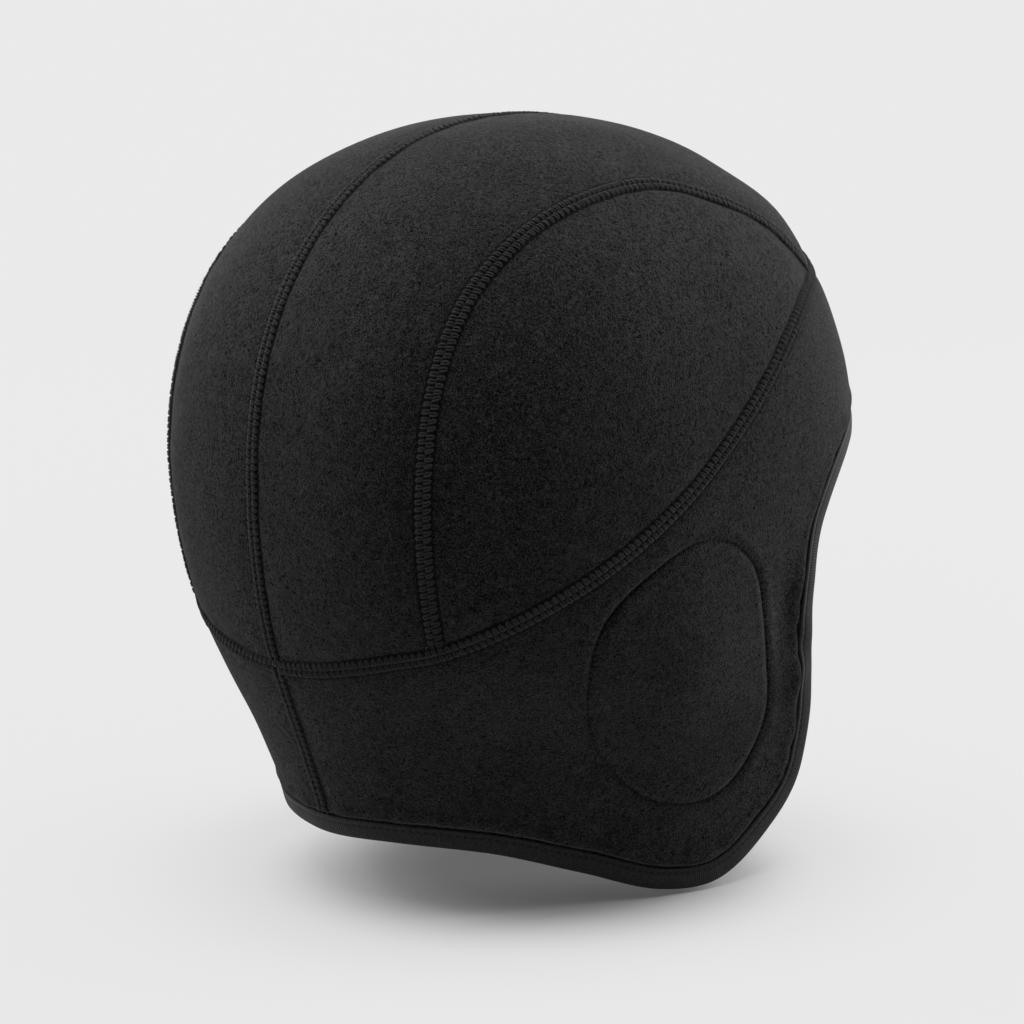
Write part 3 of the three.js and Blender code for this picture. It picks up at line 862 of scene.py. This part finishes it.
# Lines of the seams and the rim, as in the solids
lower_loop, rim_loop = whole_loop(LOWER_SEAM), whole_loop(RIM)
foot_share = FOOT_ROW / (len(LOWER_SEAM) - 1) / 2
tip_share = TIP_ROW / (len(LOWER_SEAM) - 1) / 2
side_rows = [LOWER_SEAM[FOOT_ROW], *SIDE_SEAM, LOWER_SEAM[TIP_ROW]]
centre_rows = [LOWER_SEAM[-1], *CENTRE_SEAM, LOWER_SEAM[0]]
side_line = stretch([row_point(row) for row in side_rows], False)
centre_line = stretch([row_point(row) for row in centre_rows], False)
nape_to_foot = stretch(lower_loop, True, 0, foot_share)
foot_to_tip = stretch(lower_loop, True, foot_share, tip_share)
tip_to_front = stretch(lower_loop, True, tip_share, 0.5)
lower_half = stretch(lower_loop, True, 0, 0.5, 3000)

temple_share = TEMPLE_ROW / (len(RIM) - 1) / 2
heel_share = HEEL_ROW / (len(RIM) - 1) / 2
rim_ends = ((0, temple_share), (temple_share, heel_share), (heel_share, 0.5))
rim_parts = [stretch(rim_loop, True, *ends) for ends in rim_ends]
rim_line = Line(np.concatenate([part.points for part in rim_parts]))


def inside_rim(part, distance):
    """A stretch of the rim moved up the cloth by a distance, and kept in the middle of the cap where
    the whole rim ends."""
    shares = np.linspace(0, 1, 600)
    start = sum(other.length for other in rim_parts[:rim_parts.index(part)])
    spine, _, left = left_of(rim_line, (start + shares * part.length) / rim_line.length)
    moved = spine + left * distance
    if part is rim_parts[0]:
        moved[0, 0] = 0
    if part is rim_parts[-1]:
        moved[-1, 0] = 0
    return Line(moved)


hem_parts = [inside_rim(part, TAPE_WIDTH + TAPE_CLEARANCE) for part in rim_parts]
edge_parts = [inside_rim(part, TAPE_WALL + TAPE_CLEARANCE) for part in rim_parts]
temple_line = straight(hem_parts[1].points[0], tip_to_front.points[0])
heel_line = straight(foot_to_tip.points[0], hem_parts[2].points[0])
front_middle = straight(hem_parts[0].points[0], tip_to_front.points[-1])
nape_middle = straight(hem_parts[2].points[-1], nape_to_foot.points[0])
ear_line = Line(ear_point(np.linspace(0, 360, 900), 1.0))

# Crown and side panels
along_centre = np.linspace(0, 1, 216)
across_crown = spread(nape_to_foot.length, COARSE, 0.5, BESIDE)
crown_patch = coons(
    centre_line.at(along_centre), side_line.back().at(along_centre),
    tip_to_front.back().at(across_crown), nape_to_foot.at(across_crown),
)
crown_seams = [centre_line, side_line, lower_half]
add_cloth("crown_panel", [crown_patch], crown_seams)

along_side = np.linspace(0, 1, 180)
across_side = spread(60, COARSE, FINE, BESIDE)
side_patch = ruled(foot_to_tip.at(along_side), side_line.at(along_side), across_side)
add_cloth("side_panel", [side_patch], [lower_half, side_line])

# Ear flap: a ring round the ear outline, an arm along the forehead, the nape behind, and the hem
along_ring, along_arm, along_nape = np.linspace(0, 1, 170), np.linspace(0, 1, 70), np.linspace(0, 1, 56)
across_ring = spread(50, COARSE, FINE, BESIDE)
at_heel, at_temple = (spread(line.length, 1.6, 0.5, BESIDE) for line in (heel_line, temple_line))
flap_patches = []
for line, begin, finish, shares in (
    (foot_to_tip.back(), "tip", "foot", along_ring),
    (heel_line, "foot", "heel", at_heel),
    (hem_parts[1].back(), "heel", "temple", along_ring),
    (temple_line, "temple", "tip", at_temple),
):
    first, last = EAR_FACING[begin], EAR_FACING[finish]
    if last < first:
        last += 360
    flap_patches.append(ruled(ear_point(mix(first, last, shares), 1), line.at(shares), across_ring))
flap_patches.append(coons(
    hem_parts[0].at(along_arm), tip_to_front.back().at(along_arm),
    front_middle.at(at_temple), temple_line.at(at_temple),
))
flap_patches.append(coons(
    hem_parts[2].at(along_nape), nape_to_foot.back().at(along_nape),
    heel_line.at(at_heel)[::-1], nape_middle.at(1 - at_heel[::-1]),
))
for edge, line, shares in zip(edge_parts, hem_parts, (along_arm, along_ring, along_nape)):
    flap_patches.append(ruled(edge.at(shares), line.at(shares), np.linspace(0, 1, 8)))
flap_seams = [lower_half, nape_middle, front_middle]
add_cloth("ear_flap", flap_patches, flap_seams,
          ear=True, hem=True)

across_disc = spread(35, 1.6, FINE, BESIDE, (False, True))
disc = ear_point(np.linspace(0, 360, 181)[:, None], across_disc[None])
add_cloth("ear_patch", [disc], [], ear=True)

# Seam yarns
crossing = BAND * 1.2
side_yarns = flatlock(side_line, seed=5, trim=(crossing, crossing * 2))
add_yarn("side_seam_left_yarn", side_yarns)
add_yarn("side_seam_right_yarn", mirrored(side_yarns))
add_yarn("centre_seam_yarn", flatlock(centre_line, seed=6, trim=(crossing, crossing)))
lower_yarns = flatlock(lower_half, seed=7)
add_yarn("lower_seam_yarn", lower_yarns + mirrored(lower_yarns))
add_yarn("nape_seam_yarn", flatlock(nape_middle, seed=8, trim=(0.8, crossing)))
add_yarn("forehead_seam_yarn", flatlock(front_middle, seed=9, trim=(0.8, crossing)))

# Tape: a section carried along the whole rim. out is measured from the middle of the cloth's wall in
# shares of the face's reach, and up from the fold in shares of the tape's width.
TAPE_FACE = [
    (0.5, 0.985), (0.62, 1.0), (0.74, 0.995), (0.84, 0.96), (0.885, 0.9), (0.88, 0.84), (0.835, 0.79),
    (0.83, 0.76), (0.88, 0.71), (0.935, 0.64), (0.97, 0.54), (0.99, 0.43), (1.0, 0.32), (0.98, 0.21),
    (0.92, 0.125), (0.8, 0.06), (0.6, 0.018), (0.3, 0.0),
]
TAPE_INSIDE = [(0.49, 0.9), (0.49, 0.6), (0.49, 0.3), (0.49, 0.2)]


def add_tape():
    """The tape: its section, mirrored for the inner side, at each station of the rim. A station's up is
    square to the rim across the form."""
    half = rim_line.at(np.linspace(0, 1, int(rim_line.length / 1.1) + 1))
    half[[0, -1], 0] = 0
    loop = np.concatenate([half, half[-2:0:-1] * (-1, 1, 1)])
    face = np.array(TAPE_FACE)
    slot = np.array(TAPE_INSIDE)
    profile = np.concatenate([face, (face * (-1, 1))[::-1], slot * (-1, 1), slot[::-1]])
    profile = profile * (TAPE_REACH, TAPE_WIDTH)
    run = unit(np.roll(loop, -1, axis=0) - np.roll(loop, 1, axis=0))
    up = unit(np.cross(outward(loop), run))
    foot = settle(loop[:, None] + up[:, None] * profile[None, :, 1:])
    out = outward(foot)
    steps = np.linalg.norm(loop - np.roll(loop, 1, axis=0), axis=1)
    steps[0] = 0
    along = np.cumsum(steps)
    ripple = 0.07 * np.sin(along / 3.1 + 2 * np.sin(along / 13)) + 0.05 * np.sin(along / 1.7 + 1.3)
    high = profile[None, :, 1] / TAPE_WIDTH
    height = lift(foot) - WALL / 2 + profile[None, :, 0] + ripple[:, None] * high * (1 - high) * 3
    points = foot + out * height[..., None]
    rows, columns = points.shape[:2]
    number = np.arange(rows * columns).reshape(rows, columns)
    ahead, right = np.roll(number, -1, axis=0), np.roll(number, -1, axis=1)
    faces = np.stack([number, right, np.roll(ahead, -1, axis=1), ahead], -1).reshape(-1, 4)
    spans = np.linalg.norm(profile - np.roll(profile, 1, axis=0), axis=1)
    spans[0] = 0
    uv = np.stack(np.broadcast_arrays(along[:, None], np.cumsum(spans)[None]), -1).reshape(-1, 2)
    points = points.reshape(-1, 3)
    thing = piece("rim_tape_binding", points, faces.tolist(), tape, {"tape": uv})
    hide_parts("rim_tape")


add_tape()


# Floor, in millimetres: its height, its reach, where it bends up, over what radius, and how high
FLOOR = -203.6
FLOOR_REACH = 200000
BEND_START, BEND_RADIUS, WALL_TOP = 1500, 900, 4500

# Lights and camera, in metres. Lights: place, size, and power in watts
LIGHT_HEIGHT = 1.6
MIDDLE = (0.0, 0.0, -0.1)
LIGHTS = {
    "overhead_light": ((0.06, -0.06, LIGHT_HEIGHT), (1.6, 1.6), 59),
    "left_light": ((1.1, 0.7, 0.25), (0.7, 1.0), 12),
    "right_light": ((-0.5, -1.1, 0.4), (0.7, 0.9), 13),
}
WORLD_LIGHT = 0.22
CAMERA_BACK = Vector((-0.6970, 0.6970, 0.1685))
CAMERA_TARGET = Vector((0.00296, -0.00074, -0.10857))
CAMERA_DISTANCE = 0.78
LIGHT_DROP = LIGHT_HEIGHT - FLOOR * MM
TO_SHADOW_MIDDLE = (0.022, -0.013, -FLOOR * MM)
# Strength of the floor's glow: it evens the floor far off and is painted light near the cap
GLOW = 0.8


def floor_finish():
    """Pale paper lit from above, with a glow that keeps it evenly bright far off and, near the cap, is
    painted light that lifts the shadow. The glow's share grows away from the cap, so that the shadow
    stays close, and it makes up for the overhead light's fall, which is
    1 / (1 + (distance / height)^2)^2. Right under the cap the paper is darker, a painted shadow."""
    finish = Finish("pale_floor")
    reach = finish.length(finish.moved(finish.place(), TO_SHADOW_MIDDLE))
    # Painted light: the glow's share, which lifts the shadow away from the cap
    own = finish.ramp(reach, 0.04, 0.08) * 0.7 + finish.ramp(reach, 0.07, 0.135) * 0.22
    fall = 1.0 / (((reach / LIGHT_DROP) ** 2.0 + 1.0) ** 2.0)
    # Painted shadow: the paper is darker right under the cap
    clear_of_painted_shadow = finish.ramp(reach, 0.025, 0.05)
    finish.surface(
        Base_Color=finish.blend((1.0 - own) * (clear_of_painted_shadow * 0.28 + 0.72), grey(0.0), grey(0.44)),
        Roughness=0.9,
        Specular_IOR_Level=0.0,
        Emission_Color=finish.blend(1.0 - (1.0 - own) * fall, grey(0.0), grey(1.0)),
        Emission_Strength=GLOW,
    )
    return finish.material


def add_stage():
    """A pale sweep: a level floor that bends up into a wall, as a profile carried straight across."""
    turn = np.linspace(0, math.pi / 2, 24)
    away, up = BEND_RADIUS * np.sin(turn), BEND_RADIUS - BEND_RADIUS * np.cos(turn)
    profile = np.concatenate([
        [[-FLOOR_REACH, 0]],
        np.stack([BEND_START + away, up], -1),
        [[BEND_START + BEND_RADIUS, WALL_TOP]],
    ])
    across = np.array([-FLOOR_REACH, FLOOR_REACH])
    depth = np.array([0.7071, -0.7071])
    side = np.array([0.7071, 0.7071])
    rows = [
        np.concatenate([profile[:, :1] * depth + wide * side, profile[:, 1:] + FLOOR], axis=1)
        for wide in across
    ]
    points = np.stack(rows, axis=1)
    faces = grid_faces(*points.shape[:2])
    mesh = bpy.data.meshes.new("studio_floor")
    mesh.from_pydata((points.reshape(-1, 3) * MM).tolist(), [], faces.tolist())
    mesh.polygons.foreach_set("use_smooth", np.ones(len(mesh.polygons), bool))
    mesh.materials.append(floor_finish())
    floor = bpy.data.objects.new("studio_floor", mesh)
    bpy.context.scene.collection.objects.link(floor)


def aim(thing, place, target):
    """Puts a thing at a place with its -Z towards a target and its Y upwards."""
    back = (Vector(place) - Vector(target)).normalized()
    right = Vector((0, 0, 1)).cross(back).normalized()
    if right.length < 0.5:
        right = Vector((1, 0, 0))
    turned = Matrix((right, back.cross(right), back)).transposed().to_4x4()
    thing.matrix_world = Matrix.Translation(Vector(place)) @ turned


def add_light(name, place, size, power):
    """A rectangular lamp that faces the middle of the cap."""
    light = bpy.data.lights.new(name, "AREA")
    light.shape = "RECTANGLE"
    light.size, light.size_y = size
    light.energy = power
    thing = bpy.data.objects.new(name, light)
    bpy.context.scene.collection.objects.link(thing)
    aim(thing, place, MIDDLE)


add_stage()
for name, (place, size, power) in LIGHTS.items():
    add_light(name, place, size, power)

world = bpy.data.worlds.new("studio_world")
world.use_nodes = True
world.node_tree.nodes["Background"].inputs["Color"].default_value = (1, 1, 1, 1)
world.node_tree.nodes["Background"].inputs["Strength"].default_value = WORLD_LIGHT
bpy.context.scene.world = world
bpy.context.scene.view_settings.view_transform = "Standard"

camera = bpy.data.cameras.new("camera")
camera.lens = 98.03
camera.sensor_width = 36
camera.clip_end = 30
viewer = bpy.data.objects.new("camera", camera)
bpy.context.scene.collection.objects.link(viewer)
aim(viewer, CAMERA_TARGET + CAMERA_BACK.normalized() * CAMERA_DISTANCE, CAMERA_TARGET)
bpy.context.scene.camera = viewer
